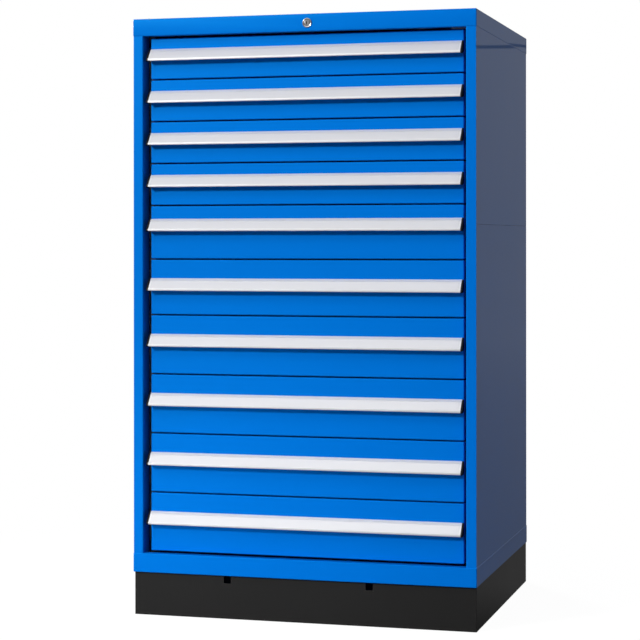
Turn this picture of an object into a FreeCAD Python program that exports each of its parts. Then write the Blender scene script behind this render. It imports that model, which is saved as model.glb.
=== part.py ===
import FreeCAD, Part
import Sketcher
import math
import os
import re

# A steel drawer cabinet for microscope slides: ten full width drawers on
# telescopic runners in a blue sheet body, on a black plinth, with one key lock.
# +Z is up, -Y is the front, and the origin is at the middle of the underside.

# Driving sizes, in millimetres and degrees
SIZES = {
    # body sheets and frame
    "cabinet_width": 914,
    "cabinet_depth": 762,
    "body_height": 1448,
    "top_rail": 45,
    "bottom_rail": 50,
    "body_sheet": 1.2,
    "rail_return": 20,
    "rail_end_gap": 0.5,
    "post_width": 27.5,
    "post_return": 46,
    "post_lip": 10.5,
    "post_flange": 33.6,
    "seam_height": 1020.5,
    "seam_gap": 0.3,
    # drawer fronts from the top down: four shallow, two between, and four deep
    # ones that share what is left of the body's height
    "shallow_front": 106.5,
    "fifth_front": 137,
    "sixth_front": 142.5,
    "front_gap": 3.5,
    "end_gap": 5,
    "side_gap": 12,
    "front_offset": 3,
    "front_recess": 21,
    "front_thickness": 25,
    # drawer trays and their lock catches
    "tray_inset": 18,
    "tray_rise": 6,
    "tray_drop": 12,
    "tray_rear_gap": 38.6,
    "hem_height": 8,
    "catch_rise": 60,
    "catch_height": 8,
    "catch_depth": 6,
    "catch_length": 27.5,
    "catch_setback": 11,
    # telescopic runners and the uprights that carry them
    "runner_space": 19,
    "runner_wall": 1.5,
    "runner_height": 45,
    "runner_gap": 0.3,
    "runner_lip_gap": 4,
    "runner_rise": 30,
    "runner_setback": 20,
    "runner_length": 660,
    "upright_width": 30,
    "upright_wall": 1.5,
    "upright_rear_gap": 18.6,
    # drawer handles
    "handle_height": 32.5,
    "handle_projection": 25,
    "handle_wall": 2.2,
    "handle_land": 1,
    "handle_end_gap": 4.5,
    "handle_lip": 1.5,
    "label_recess": 1.4,
    "label_thickness": 1.1,
    "label_end_gap": 5,
    "shallow_handle_drop": 28,
    "fifth_handle_drop": 33,
    "deep_handle_drop": 48,
    "cap_thickness": 5,
    "cap_overlap": 0.7,
    # plinth
    "plinth_height": 112,
    "plinth_setback": 8,
    "plinth_side_inset": 2.3,
    "plinth_rear_inset": 2,
    "plinth_sheet": 2.5,
    "plinth_top_flange": 30,
    "plinth_foot_flange": 40,
    "notch_width": 19,
    "notch_height": 20.5,
    "left_notch_inset": 256.3,
    "right_notch_inset": 279.2,
    "anchor_hole": 11,
    "anchor_end_gap": 78,
    "bolt_inset": 77,
    "bolt_flange_gap": 14,
    "bolt_diameter": 8,
    "bolt_hole": 9,
    "bolt_head_width": 13,
    "bolt_head_height": 5.3,
    "bolt_nut_height": 6.5,
    "bolt_tail": 3,
    # key lock
    "lock_drop": 23.5,
    "lock_offset": 17.5,
    "lock_hole": 19,
    "barrel_diameter": 18.7,
    "barrel_length": 20,
    "bezel_diameter": 25,
    "bezel_height": 2.5,
    "plug_diameter": 14,
    "plug_gap": 0.05,
    "plug_proud": 0.5,
    "plug_tail": 3,
    "key_slot_width": 2.4,
    "key_slot_height": 8,
    "key_slot_depth": 9,
    "lock_nut_width": 24,
    "lock_nut_height": 6,
    "cam_thickness": 2.5,
    "cam_hub": 18,
    "cam_boss": 11,
    "cam_radius": 12,
    "cam_angle": 45,
    "pin_diameter": 5,
    "pin_reach": 3.5,
    # lock bars
    "transfer_thickness": 2,
    "transfer_height": 20,
    "transfer_left_end": 20,
    "transfer_end_gap": 3.5,
    "lift_plate_width": 38,
    "lift_plate_height": 30,
    "lift_slot_inset": 28,
    "lift_slot_drop": 14.5,
    "lift_travel": 10,
    "slot_margin": 3.2,
    "lift_slot_half": 3.3,
    "cam_slot_gap": 0.6,
    "bar_gap": 0.3,
    "bar_thickness": 3,
    "bar_depth": 14,
    "bar_side_gap": 20.6,
    "bar_front_gap": 1.8,
    "hook_rest_gap": 2,
    "hook_height": 8,
    "hook_depth": 6,
    "hook_length": 10,
    "arm_height": 10,
    "bar_tail": 10,
    "guide_wall": 1.5,
    "guide_height": 20,
    "guide_rise": 80,
    "bracket_width": 24,
    "bracket_left": 150,
    "bracket_pitch": 150,
}

doc = FreeCAD.newDocument("slide_cabinet")
sheet = doc.addObject("Spreadsheet::Sheet", "Sizes")
for row, (alias, value) in enumerate(SIZES.items(), start=1):
    sheet.set(f"A{row}", alias)
    sheet.set(f"B{row}", str(value))
    sheet.setAlias(f"B{row}", alias)
doc.recompute()

NAME = re.compile(r"[a-z][a-z_]+")


def sized(text):
    """Point the size names in an expression at the sheet."""
    return NAME.sub(lambda found: "Sizes." + found[0] if found[0] in SIZES else found[0], text)


def move(thing, places):
    """Bind a thing's position to three expressions."""
    for axis, place in zip("xyz", places):
        thing.setExpression(f"Placement.Base.{axis}", sized(place))


def box(name, across, along, up):
    """A block between two expressions on each axis."""
    block = doc.addObject("Part::Box", name)
    for side, (low, high) in zip(("Length", "Width", "Height"), (across, along, up)):
        block.setExpression(side, sized(f"({high}) - ({low})"))
    move(block, (across[0], along[0], up[0]))
    return block


# Turns that carry a drawn outline and its length onto the cabinet's axes
X, Y, Z = FreeCAD.Vector(1, 0, 0), FreeCAD.Vector(0, 1, 0), FreeCAD.Vector(0, 0, 1)
TO_FRONT = FreeCAD.Rotation(X, Z, -Y, "XYZ")
TO_REAR = FreeCAD.Rotation(-X, Z, Y, "XYZ")
TO_RIGHT = FreeCAD.Rotation(-Y, -Z, X, "XYZ")
HALF_TURN = FreeCAD.Rotation(Y, 180)
UPRIGHT = FreeCAD.Rotation()


def rod(name, diameter, start, places, length):
    """A round bar that runs back from its front end."""
    bar = doc.addObject("Part::Cylinder", name)
    bar.setExpression("Radius", sized(f"({diameter}) / 2"))
    bar.setExpression("Height", sized(length))
    bar.Placement.Rotation = TO_REAR
    move(bar, (places[0], start, places[1]))
    return bar


def column(name, diameter, places, length):
    """A round bar that stands on its lower end."""
    bar = doc.addObject("Part::Cylinder", name)
    bar.setExpression("Radius", sized(f"({diameter}) / 2"))
    bar.setExpression("Height", sized(length))
    move(bar, places)
    return bar


def hexagon(name, width, turn, places, length):
    """A six sided bar of a width across its flats."""
    nut = doc.addObject("Part::Prism", name)
    nut.Polygon = 6
    nut.setExpression("Circumradius", sized(f"({width}) / sqrt(3)"))
    nut.setExpression("Height", sized(length))
    nut.Placement.Rotation = turn
    move(nut, places)
    return nut


def cut(name, base, tool):
    remainder = doc.addObject("Part::Cut", name)
    remainder.Base = base
    remainder.Tool = tool
    return remainder


def fuse(name, pieces):
    whole = doc.addObject("Part::MultiFuse", name)
    whole.Shapes = pieces
    return whole


def group(name, pieces):
    """Separate solids that share one node."""
    together = doc.addObject("Part::Compound", name)
    together.Links = pieces
    return together


# Corners wait on a unit circle about this point until their constraints place them
START = FreeCAD.Vector(2, 2, 0)


def draw(sketch, points):
    """A closed outline whose corners are bound to pairs of expressions."""
    count = len(points)
    turns = [2 * math.pi * i / count for i in range(count)]
    spots = [START + FreeCAD.Vector(math.cos(turn), math.sin(turn), 0) for turn in turns]
    for i in range(count):
        sketch.addGeometry(Part.LineSegment(spots[i], spots[(i + 1) % count]))
    for i in range(count):
        sketch.addConstraint(Sketcher.Constraint("Coincident", i, 2, (i + 1) % count, 1))
    for i, (across, up) in enumerate(points):
        if across == 0 and up == 0:
            sketch.addConstraint(Sketcher.Constraint("Coincident", i, 1, -1, 1))
            continue
        spot = spots[i]
        for kind, axis, place, start in (("DistanceX", -2, across, spot.x), ("DistanceY", -1, up, spot.y)):
            if place == 0:
                sketch.addConstraint(Sketcher.Constraint("PointOnObject", i, 1, axis))
            else:
                number = sketch.addConstraint(Sketcher.Constraint(kind, -1, 1, i, 1, start))
                sketch.setExpression(f"Constraints[{number}]", sized(place))


def outline(name, points):
    """A drawn section that bars of the same kind share."""
    sketch = doc.addObject("Sketcher::SketchObject", name)
    draw(sketch, points)
    return sketch


def bar(name, section, turn, places, length):
    """A bar of a shared section, turned and moved to its place."""
    piece = doc.addObject("Part::Extrusion", name)
    piece.Base = section
    piece.DirMode = "Custom"
    piece.Dir = Z
    piece.Solid = True
    piece.setExpression("LengthFwd", sized(length))
    piece.Placement.Rotation = turn
    move(piece, places)
    return piece


def body(name, points, length, holes=()):
    """A plate or section padded from its own sketch, with any openings cut through."""
    whole = doc.addObject("PartDesign::Body", name)
    plane = next(item for item in whole.Origin.OriginFeatures if item.Role == "XY_Plane")
    for kind, corners in [("Pad", points)] + [("Pocket", hole) for hole in holes]:
        sketch = whole.newObject("Sketcher::SketchObject", f"{name}_{kind}_sketch")
        sketch.AttachmentSupport = (plane, [""])
        sketch.MapMode = "FlatFace"
        draw(sketch, corners)
        feature = whole.newObject(f"PartDesign::{kind}", f"{name}_{kind}")
        feature.Profile = sketch
        if kind == "Pad":
            feature.setExpression("Length", sized(length))
        else:
            feature.Type = "ThroughAll"
            feature.Reversed = True
        sketch.Visibility = False
    return whole


def sided(side, low, high):
    """A stretch across the cabinet, mirrored for its left side."""
    return (low, high) if side > 0 else (f"-({high})", f"-({low})")


nodes = []


def node(name, thing):
    """Keep a finished sub-part under its node name."""
    thing.Label = name
    nodes.append(thing)


# Planes and levels that several pieces share
HALF_WIDTH = "cabinet_width / 2"
HALF_DEPTH = "cabinet_depth / 2"
INNER_HALF_WIDTH = "(cabinet_width / 2 - body_sheet)"
INNER_HALF_DEPTH = "(cabinet_depth / 2 - body_sheet)"
PANEL_INNER = "(cabinet_width / 2 - 2 * body_sheet)"
BACK_INNER = "(cabinet_depth / 2 - 2 * body_sheet)"
POST_INNER = "(cabinet_width / 2 - post_width)"
HALF_FRONT = "(cabinet_width / 2 - post_width - side_gap)"
FRONT_LEFT = f"(front_offset - {HALF_FRONT})"
FRONT_RIGHT = f"(front_offset + {HALF_FRONT})"
HALF_TRAY = "(cabinet_width / 2 - post_width - side_gap - tray_inset)"
UPRIGHT_FACE = f"({HALF_TRAY} + runner_space)"
FRONT_FACE = "(front_recess - cabinet_depth / 2)"
FRONT_REAR = f"({FRONT_FACE} + front_thickness)"
RUNNER_FRONT = f"({FRONT_REAR} + runner_setback)"
TRAY_REAR = f"({BACK_INNER} - tray_rear_gap)"

SHALLOW_COUNT = 4
DEEP_COUNT = 4
GAP_COUNT = SHALLOW_COUNT + DEEP_COUNT + 1
UPPER_FRONTS = f"({SHALLOW_COUNT} * shallow_front + fifth_front + sixth_front)"
FRONTS_SPACE = f"(body_height - bottom_rail - top_rail - 2 * end_gap - {GAP_COUNT} * front_gap)"
DEEP_FRONTS = f"({FRONTS_SPACE} - {UPPER_FRONTS})"
FRONTS = [f"({DEEP_FRONTS} / {DEEP_COUNT})"] * DEEP_COUNT + ["sixth_front", "fifth_front"]
FRONTS += ["shallow_front"] * SHALLOW_COUNT
DROPS = ["deep_handle_drop"] * (DEEP_COUNT + 1) + ["fifth_handle_drop"]
DROPS += ["shallow_handle_drop"] * SHALLOW_COUNT
level = "plinth_height + bottom_rail + end_gap"
drawers = []
for place, (height, drop) in enumerate(zip(FRONTS, DROPS)):
    drawers.append((len(FRONTS) - place, f"({level})", height, drop))
    level = f"{level} + {height} + front_gap"
BODY_TOP = "(plinth_height + body_height)"
RAIL_FOOT = f"({BODY_TOP} - top_rail)"
FLOOR_TOP = "(plinth_height + body_sheet)"
ROOF = f"({BODY_TOP} - body_sheet)"
LOCK_HEIGHT = f"({BODY_TOP} - lock_drop)"
LOCK_SPOT = ("lock_offset", LOCK_HEIGHT)

# Top cover: a pan turned over the frame, whose front skirt is the top rail
roof_block = box("cover_block", ("-cabinet_width / 2", HALF_WIDTH), ("-cabinet_depth / 2", HALF_DEPTH),
                 (RAIL_FOOT, BODY_TOP))
roof_space = box("cover_space", (f"-{INNER_HALF_WIDTH}", INNER_HALF_WIDTH),
                 (f"-{INNER_HALF_DEPTH}", INNER_HALF_DEPTH), (RAIL_FOOT, ROOF))
lock_opening = rod("lock_opening", "lock_hole", "-cabinet_depth / 2", LOCK_SPOT, "body_sheet")
RAIL_REACH = f"({POST_INNER} - rail_end_gap)"
roof_return = box("cover_return", (f"-{RAIL_REACH}", RAIL_REACH),
                  (f"-{INNER_HALF_DEPTH}", f"rail_return - {INNER_HALF_DEPTH}"),
                  (RAIL_FOOT, f"{RAIL_FOOT} + body_sheet"))
roof_pan = cut("cover_pan", cut("cover_skirts", roof_block, roof_space), lock_opening)
node("top_cover", fuse("top_cover", [roof_pan, roof_return]))

# Plinth levels and the four places where bolts hold the body to it
PLINTH_HALF = "(cabinet_width / 2 - plinth_side_inset)"
PLINTH_FRONT = "(plinth_setback - cabinet_depth / 2)"
PLINTH_REAR = "(cabinet_depth / 2 - plinth_rear_inset)"
BOLT_SIDE = "(cabinet_width / 2 - bolt_inset)"
BOLT_FRONT = f"({PLINTH_FRONT} + plinth_sheet + bolt_flange_gap)"
BOLT_REAR = f"({PLINTH_REAR} - plinth_sheet - bolt_flange_gap)"
BOLT_SPOTS = [(across, along) for across in (f"-{BOLT_SIDE}", BOLT_SIDE) for along in (BOLT_FRONT, BOLT_REAR)]
FLANGE_FOOT = "(plinth_height - plinth_sheet)"


def bolt_holes(name, spots):
    return fuse(name, [column(f"{name}_hole", "bolt_hole", (*spot, FLANGE_FOOT), "plinth_sheet + body_sheet")
                       for spot in spots])


# Bottom pan: the same pan the right way up, bolted to the plinth
floor_block = box("pan_block", ("-cabinet_width / 2", HALF_WIDTH), ("-cabinet_depth / 2", HALF_DEPTH),
                  ("plinth_height", "plinth_height + bottom_rail"))
floor_space = box("pan_space", (f"-{INNER_HALF_WIDTH}", INNER_HALF_WIDTH),
                  (f"-{INNER_HALF_DEPTH}", INNER_HALF_DEPTH), (FLOOR_TOP, "plinth_height + bottom_rail"))
floor_return = box("pan_return", (f"-{RAIL_REACH}", RAIL_REACH),
                   (f"-{INNER_HALF_DEPTH}", f"rail_return - {INNER_HALF_DEPTH}"),
                   ("plinth_height + bottom_rail - body_sheet", "plinth_height + bottom_rail"))
floor_pan = cut("pan_skirts", floor_block, floor_space)
node("bottom_pan", cut("bottom_pan", fuse("pan_whole", [floor_pan, floor_return]),
                       bolt_holes("pan_bolts", BOLT_SPOTS)))

# Front posts: folded sections behind the rails' ends
POST_SECTION = [
    (0, 0),
    ("post_width - body_sheet", 0),
    ("post_width - body_sheet", "body_sheet"),
    ("post_width - 2 * body_sheet", "body_sheet"),
    ("post_width - 2 * body_sheet", "post_flange + body_sheet"),
    ("post_width - 3 * body_sheet", "post_flange + body_sheet"),
    ("post_width - 3 * body_sheet", "body_sheet"),
    ("body_sheet", "body_sheet"),
    ("body_sheet", "post_return - body_sheet"),
    ("post_lip", "post_return - body_sheet"),
    ("post_lip", "post_return"),
    (0, "post_return"),
]
PANEL_HEIGHT = f"{ROOF} - {FLOOR_TOP}"
right_post = body("right_post", POST_SECTION, PANEL_HEIGHT)
move(right_post, (POST_INNER, f"-{INNER_HALF_DEPTH}", FLOOR_TOP))
node("right_post", right_post)
left_post = body("left_post", POST_SECTION, PANEL_HEIGHT)
left_post.Placement.Rotation = HALF_TURN
move(left_post, (f"-{POST_INNER}", f"-{INNER_HALF_DEPTH}", ROOF))
node("left_post", left_post)

# Side panels in two sheets each, and the back panel between them
for side, word in ((-1, "left"), (1, "right")):
    across = sided(side, PANEL_INNER, INNER_HALF_WIDTH)
    along = (f"body_sheet - {INNER_HALF_DEPTH}", INNER_HALF_DEPTH)
    lower = box(f"{word}_lower_sheet", across, along, (FLOOR_TOP, "seam_height - seam_gap / 2"))
    upper = box(f"{word}_upper_sheet", across, along, ("seam_height + seam_gap / 2", ROOF))
    node(f"{word}_side_panels", group(f"{word}_side_panels", [lower, upper]))
node("back_panel", box("back_panel", (f"-{PANEL_INNER}", PANEL_INNER), (BACK_INNER, INNER_HALF_DEPTH),
                       (FLOOR_TOP, ROOF)))

# Uprights inside the side panels, which carry the runners
CHANNEL_DEPTH = f"{PANEL_INNER} - {UPRIGHT_FACE}"
upright_section = outline("upright_section", [
    (0, 0),
    (CHANNEL_DEPTH, 0),
    (CHANNEL_DEPTH, "upright_wall"),
    ("upright_wall", "upright_wall"),
    ("upright_wall", "upright_width - upright_wall"),
    (CHANNEL_DEPTH, "upright_width - upright_wall"),
    (CHANNEL_DEPTH, "upright_width"),
    (0, "upright_width"),
])
uprights = []
for along in (RUNNER_FRONT, f"{BACK_INNER} - upright_rear_gap - upright_width"):
    for turn, across, start in ((UPRIGHT, UPRIGHT_FACE, FLOOR_TOP), (HALF_TURN, f"-{UPRIGHT_FACE}", ROOF)):
        uprights.append(bar("upright", upright_section, turn, (across, along, start), PANEL_HEIGHT))
node("runner_uprights", group("runner_uprights", uprights))


def channel(name, depth, height):
    """A channel section with its web at the start and its flanges outward."""
    return outline(name, [
        (0, 0),
        (depth, 0),
        (depth, "runner_wall"),
        ("runner_wall", "runner_wall"),
        ("runner_wall", f"{height} - runner_wall"),
        (depth, f"{height} - runner_wall"),
        (depth, height),
        (0, height),
    ])


# Runner members: the fixed one on the uprights, the middle one nested in it,
# and the drawer's own, which opens outward inside the middle one
FIXED_HEIGHT = "runner_height"
MIDDLE_HEIGHT = "(runner_height - 2 * runner_wall - 2 * runner_gap)"
DRAWER_HEIGHT = "(runner_height - 4 * runner_wall - 4 * runner_gap)"
fixed_section = channel("fixed_section", "runner_space - runner_lip_gap - runner_wall", FIXED_HEIGHT)
middle_section = channel("middle_section", "runner_space - runner_lip_gap - runner_wall - runner_gap",
                         MIDDLE_HEIGHT)
drawer_section = channel("drawer_section", "runner_space - 2 * runner_wall - 2 * runner_gap", DRAWER_HEIGHT)
MIDDLE_FACE = f"({UPRIGHT_FACE} - runner_wall - runner_gap)"
RUNNER_REAR = f"({RUNNER_FRONT} + runner_length)"


def runner(name, side, section, height, web, opens_outward, foot, rear):
    """One runner member, with its web at a distance from the middle of the cabinet."""
    start = f"{foot} + runner_rise - {height} / 2"
    length = f"{rear} - {RUNNER_FRONT}"
    if (side > 0) == opens_outward:
        turn, along = TO_FRONT, rear
    else:
        turn, along = TO_REAR, RUNNER_FRONT
    across = web if side > 0 else f"-{web}"
    return bar(name, section, turn, (across, along, start), length)


for side, word in ((-1, "left"), (1, "right")):
    fixed = [runner("fixed_member", side, fixed_section, FIXED_HEIGHT, UPRIGHT_FACE, False, foot, RUNNER_REAR)
             for number, foot, height, drop in drawers]
    node(f"fixed_runners_{word}", group(f"fixed_runners_{word}", fixed))

# Handle section, drawn outward and down from its top edge on the drawer front.
# The label face runs between two shares of the handle's projection and height, under a
# steeper shoulder and above an upright nose.
FACE_START_SHARES = (0.34, 0.19)
FACE_END_SHARES = (0.97, 0.8)
LIP_SHARE = 0.83
FACE_TOP_OUT = f"handle_projection * {FACE_START_SHARES[0]}"
FACE_TOP_DOWN = f"handle_height * {FACE_START_SHARES[1]}"
FACE_FOOT_OUT = f"handle_projection * {FACE_END_SHARES[0]}"
FACE_FOOT_DOWN = f"handle_height * {FACE_END_SHARES[1]}"
LIP_DOWN = f"handle_height * {LIP_SHARE}"
handle_section = outline("handle_section", [
    (0, 0),
    ("handle_land", 0),
    (FACE_TOP_OUT, FACE_TOP_DOWN),
    (f"{FACE_TOP_OUT} - label_recess", FACE_TOP_DOWN),
    (f"{FACE_FOOT_OUT} - label_recess", FACE_FOOT_DOWN),
    (FACE_FOOT_OUT, FACE_FOOT_DOWN),
    ("handle_projection", LIP_DOWN),
    ("handle_projection", "handle_height - handle_lip"),
    ("handle_projection - handle_lip", "handle_height"),
    ("handle_projection - handle_lip - handle_wall / 2", "handle_height"),
    ("handle_projection - handle_lip - handle_wall / 2", f"{LIP_DOWN} + handle_wall / 2"),
    (f"{FACE_FOOT_OUT} - label_recess - handle_wall", f"{FACE_FOOT_DOWN} + handle_wall / 2"),
    (f"{FACE_TOP_OUT} - label_recess - handle_wall", f"{FACE_TOP_DOWN} + handle_wall / 2"),
    ("handle_wall", "1.5 * handle_wall"),
    ("handle_wall", LIP_DOWN),
    (0, LIP_DOWN),
])
LABEL_GAP = "(label_recess - label_thickness)"
label_section = outline("label_section", [
    (f"{FACE_TOP_OUT} - label_recess", FACE_TOP_DOWN),
    (f"{FACE_TOP_OUT} - {LABEL_GAP}", FACE_TOP_DOWN),
    (f"{FACE_FOOT_OUT} - {LABEL_GAP}", FACE_FOOT_DOWN),
    (f"{FACE_FOOT_OUT} - label_recess", FACE_FOOT_DOWN),
])
cap_section = outline("cap_section", [
    (0, 0),
    ("handle_land + cap_overlap", 0),
    (f"{FACE_TOP_OUT} + cap_overlap", FACE_TOP_DOWN),
    (f"{FACE_FOOT_OUT} + cap_overlap", FACE_FOOT_DOWN),
    ("handle_projection + cap_overlap", LIP_DOWN),
    ("handle_projection + cap_overlap", "handle_height + cap_overlap - handle_lip"),
    ("handle_projection + cap_overlap - handle_lip", "handle_height + cap_overlap"),
    ("handle_projection / 2", "handle_height + cap_overlap"),
    (0, LIP_DOWN),
])

# Drawers: a hollow front and a tray with the two drawer runner members, and a lock catch on the tray.
# The handle's rail ends short of the front's right edge.
RAIL_LENGTH = f"(2 * {HALF_FRONT} - handle_end_gap)"
CATCH_FRONT = f"({FRONT_REAR} + catch_setback)"
for number, foot, height, drop in reversed(drawers):
    name = f"drawer_{number:02d}"
    front_top = f"({foot} + {height})"
    tray_foot = f"({foot} + tray_rise)"
    tray_top = f"({front_top} - tray_drop)"
    front_block = box(f"{name}_front_block", (FRONT_LEFT, FRONT_RIGHT), (FRONT_FACE, FRONT_REAR),
                      (foot, front_top))
    front_space = box(f"{name}_front_space", (f"{FRONT_LEFT} + body_sheet", f"{FRONT_RIGHT} - body_sheet"),
                      (f"{FRONT_FACE} + body_sheet", FRONT_REAR),
                      (f"{foot} + body_sheet", f"{front_top} - body_sheet"))
    front_back = box(f"{name}_front_back", (FRONT_LEFT, FRONT_RIGHT),
                     (f"{FRONT_REAR} - body_sheet", FRONT_REAR), (tray_foot, front_top))
    tray_block = box(f"{name}_tray_block", (f"-{HALF_TRAY}", HALF_TRAY),
                     (f"{FRONT_REAR} - body_sheet", TRAY_REAR), (tray_foot, tray_top))
    inner_tray = f"({HALF_TRAY} - body_sheet)"
    tray_space = box(f"{name}_tray_space", (f"-{inner_tray}", inner_tray),
                     (FRONT_REAR, f"{TRAY_REAR} - body_sheet"),
                     (f"{tray_foot} + body_sheet", f"{tray_top} - hem_height"))
    inner_hem = f"({HALF_TRAY} - 2 * body_sheet)"
    hem_space = box(f"{name}_hem_space", (f"-{inner_hem}", inner_hem),
                    (FRONT_REAR, f"{TRAY_REAR} - 2 * body_sheet"),
                    (f"{tray_top} - hem_height", tray_top))
    tray = cut(f"{name}_tray", tray_block, fuse(f"{name}_inside", [tray_space, hem_space]))
    front = cut(f"{name}_front", front_block, front_space)
    members = [runner(f"{name}_member", side, drawer_section, DRAWER_HEIGHT, HALF_TRAY, True, foot, TRAY_REAR)
               for side in (-1, 1)]
    catch = box(f"{name}_catch", (HALF_TRAY, f"{HALF_TRAY} + catch_length"),
                (CATCH_FRONT, f"{CATCH_FRONT} + catch_depth"),
                (f"{foot} + catch_rise", f"{foot} + catch_rise + catch_height"))
    tray_and_front = fuse(f"{name}_unit", [front, front_back, tray] + members)
    node(name, group(name, [tray_and_front, catch]))

    middles = [runner("middle_member", side, middle_section, MIDDLE_HEIGHT, MIDDLE_FACE, False, foot,
                      RUNNER_REAR) for side in (-1, 1)]
    node(f"middle_runners_{number:02d}", group(f"middle_runners_{number:02d}", middles))

    handle_top = f"{front_top} - {drop}"
    rail = bar("handle_rail", handle_section, TO_RIGHT, (FRONT_LEFT, FRONT_FACE, handle_top), RAIL_LENGTH)
    label_start = f"{FRONT_LEFT} + label_end_gap"
    label = bar("label_strip", label_section, TO_RIGHT, (label_start, FRONT_FACE, handle_top),
                f"{RAIL_LENGTH} - 2 * label_end_gap")
    node(f"handle_{number:02d}", group(f"handle_{number:02d}", [rail, label]))
    caps = [bar("handle_cap", cap_section, TO_RIGHT, (across, FRONT_FACE, handle_top), "cap_thickness")
            for across in (f"{FRONT_LEFT} - cap_thickness", f"{FRONT_LEFT} + {RAIL_LENGTH}")]
    node(f"handle_caps_{number:02d}", group(f"handle_caps_{number:02d}", caps))

# Plinth: side and rear plates with flanges turned in, and a notched front plate
PLINTH_INNER = f"({PLINTH_HALF} - plinth_sheet)"
PLINTH_FRONT_INNER = f"({PLINTH_FRONT} + plinth_sheet)"
PLINTH_REAR_INNER = f"({PLINTH_REAR} - plinth_sheet)"
frame_pieces = [box("plinth_rear_plate", (f"-{PLINTH_HALF}", PLINTH_HALF), (PLINTH_REAR_INNER, PLINTH_REAR),
                    ("0", "plinth_height")),
                box("plinth_rear_flange", (f"-{PLINTH_INNER}", PLINTH_INNER),
                    (f"{PLINTH_REAR} - plinth_top_flange", PLINTH_REAR), (FLANGE_FOOT, "plinth_height"))]
for side in (-1, 1):
    frame_pieces += [
        box("plinth_side_plate", sided(side, PLINTH_INNER, PLINTH_HALF), (PLINTH_FRONT_INNER, PLINTH_REAR),
            ("0", "plinth_height")),
        box("plinth_side_flange", sided(side, f"{PLINTH_HALF} - plinth_top_flange", PLINTH_HALF),
            (f"{PLINTH_FRONT} + plinth_top_flange", PLINTH_REAR), (FLANGE_FOOT, "plinth_height")),
        box("plinth_foot_flange", sided(side, f"{PLINTH_HALF} - plinth_foot_flange", PLINTH_HALF),
            (PLINTH_FRONT_INNER, PLINTH_REAR), ("0", "plinth_sheet")),
    ]
ANCHOR_SIDE = f"({PLINTH_INNER} - (plinth_foot_flange - plinth_sheet) / 2)"
anchor_holes = fuse("anchor_holes", [
    column("anchor_opening", "anchor_hole", (across, along, "0"), "plinth_sheet")
    for across in (f"-{ANCHOR_SIDE}", ANCHOR_SIDE)
    for along in ("anchor_end_gap - cabinet_depth / 2", "cabinet_depth / 2 - anchor_end_gap")
])
rear_holes = bolt_holes("frame_bolts", [spot for spot in BOLT_SPOTS if spot[1] == BOLT_REAR])
frame_whole = cut("plinth_anchored", fuse("plinth_plates", frame_pieces), anchor_holes)
node("plinth_frame", cut("plinth_frame", frame_whole, rear_holes))

# Plinth front plate, drawn from its left foot corner, with two notches in its top edge
PLATE_WIDTH = f"2 * {PLINTH_HALF}"
LEFT_NOTCH = "left_notch_inset - plinth_side_inset - notch_width / 2"
RIGHT_NOTCH = f"{PLATE_WIDTH} - right_notch_inset + plinth_side_inset - notch_width / 2"
plate_section = outline("plate_section", [
    (0, 0),
    (PLATE_WIDTH, 0),
    (PLATE_WIDTH, "plinth_height"),
    (f"{RIGHT_NOTCH} + notch_width", "plinth_height"),
    (f"{RIGHT_NOTCH} + notch_width", "plinth_height - notch_height"),
    (RIGHT_NOTCH, "plinth_height - notch_height"),
    (RIGHT_NOTCH, "plinth_height"),
    (f"{LEFT_NOTCH} + notch_width", "plinth_height"),
    (f"{LEFT_NOTCH} + notch_width", "plinth_height - notch_height"),
    (LEFT_NOTCH, "plinth_height - notch_height"),
    (LEFT_NOTCH, "plinth_height"),
    (0, "plinth_height"),
])
plate = bar("plinth_plate", plate_section, TO_FRONT, (f"-{PLINTH_HALF}", PLINTH_FRONT_INNER, "0"),
            "plinth_sheet")
FLANGE_STRETCHES = [
    (f"-{PLINTH_INNER}", f"{LEFT_NOTCH} - {PLINTH_HALF}"),
    (f"{LEFT_NOTCH} + notch_width - {PLINTH_HALF}", f"{RIGHT_NOTCH} - {PLINTH_HALF}"),
    (f"{RIGHT_NOTCH} + notch_width - {PLINTH_HALF}", PLINTH_INNER),
]
plate_flanges = [box("plate_flange", stretch, (PLINTH_FRONT, f"{PLINTH_FRONT} + plinth_top_flange"),
                     (FLANGE_FOOT, "plinth_height")) for stretch in FLANGE_STRETCHES]
front_holes = bolt_holes("plate_bolts", [spot for spot in BOLT_SPOTS if spot[1] == BOLT_FRONT])
plate_whole = fuse("plate_whole", [plate] + plate_flanges)
node("plinth_front_plate", cut("plinth_front_plate", plate_whole, front_holes))

# Plinth bolts: heads on the pan, weld nuts under the flanges
bolts = []
for spot in BOLT_SPOTS:
    nut_foot = f"({FLANGE_FOOT} - bolt_nut_height)"
    head = hexagon("bolt_head", "bolt_head_width", UPRIGHT, (*spot, FLOOR_TOP), "bolt_head_height")
    shank = column("bolt_shank", "bolt_diameter", (*spot, f"{nut_foot} - bolt_tail"),
                   f"{FLOOR_TOP} - {nut_foot} + bolt_tail")
    nut = hexagon("bolt_nut", "bolt_head_width", UPRIGHT, (*spot, nut_foot), "bolt_nut_height")
    bolts.append(fuse("plinth_bolt", [head, shank, nut]))
node("plinth_bolts", group("plinth_bolts", bolts))

# Lock housing: a bezel on the top rail and a barrel through it
RAIL_FRONT = "-cabinet_depth / 2"
BARREL_END = f"({RAIL_FRONT} + barrel_length)"
PLUG_FRONT = f"({RAIL_FRONT} - bezel_height - plug_proud)"
PLUG_END = f"({BARREL_END} + plug_tail)"
bezel = rod("bezel", "bezel_diameter", f"{RAIL_FRONT} - bezel_height", LOCK_SPOT, "bezel_height")
barrel = rod("barrel", "barrel_diameter", RAIL_FRONT, LOCK_SPOT, "barrel_length")
plug_bore = rod("plug_bore", "plug_diameter + 2 * plug_gap", f"{RAIL_FRONT} - bezel_height",
                LOCK_SPOT, "bezel_height + barrel_length")
node("lock_housing", cut("lock_housing", fuse("lock_shell", [bezel, barrel]), plug_bore))

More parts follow.
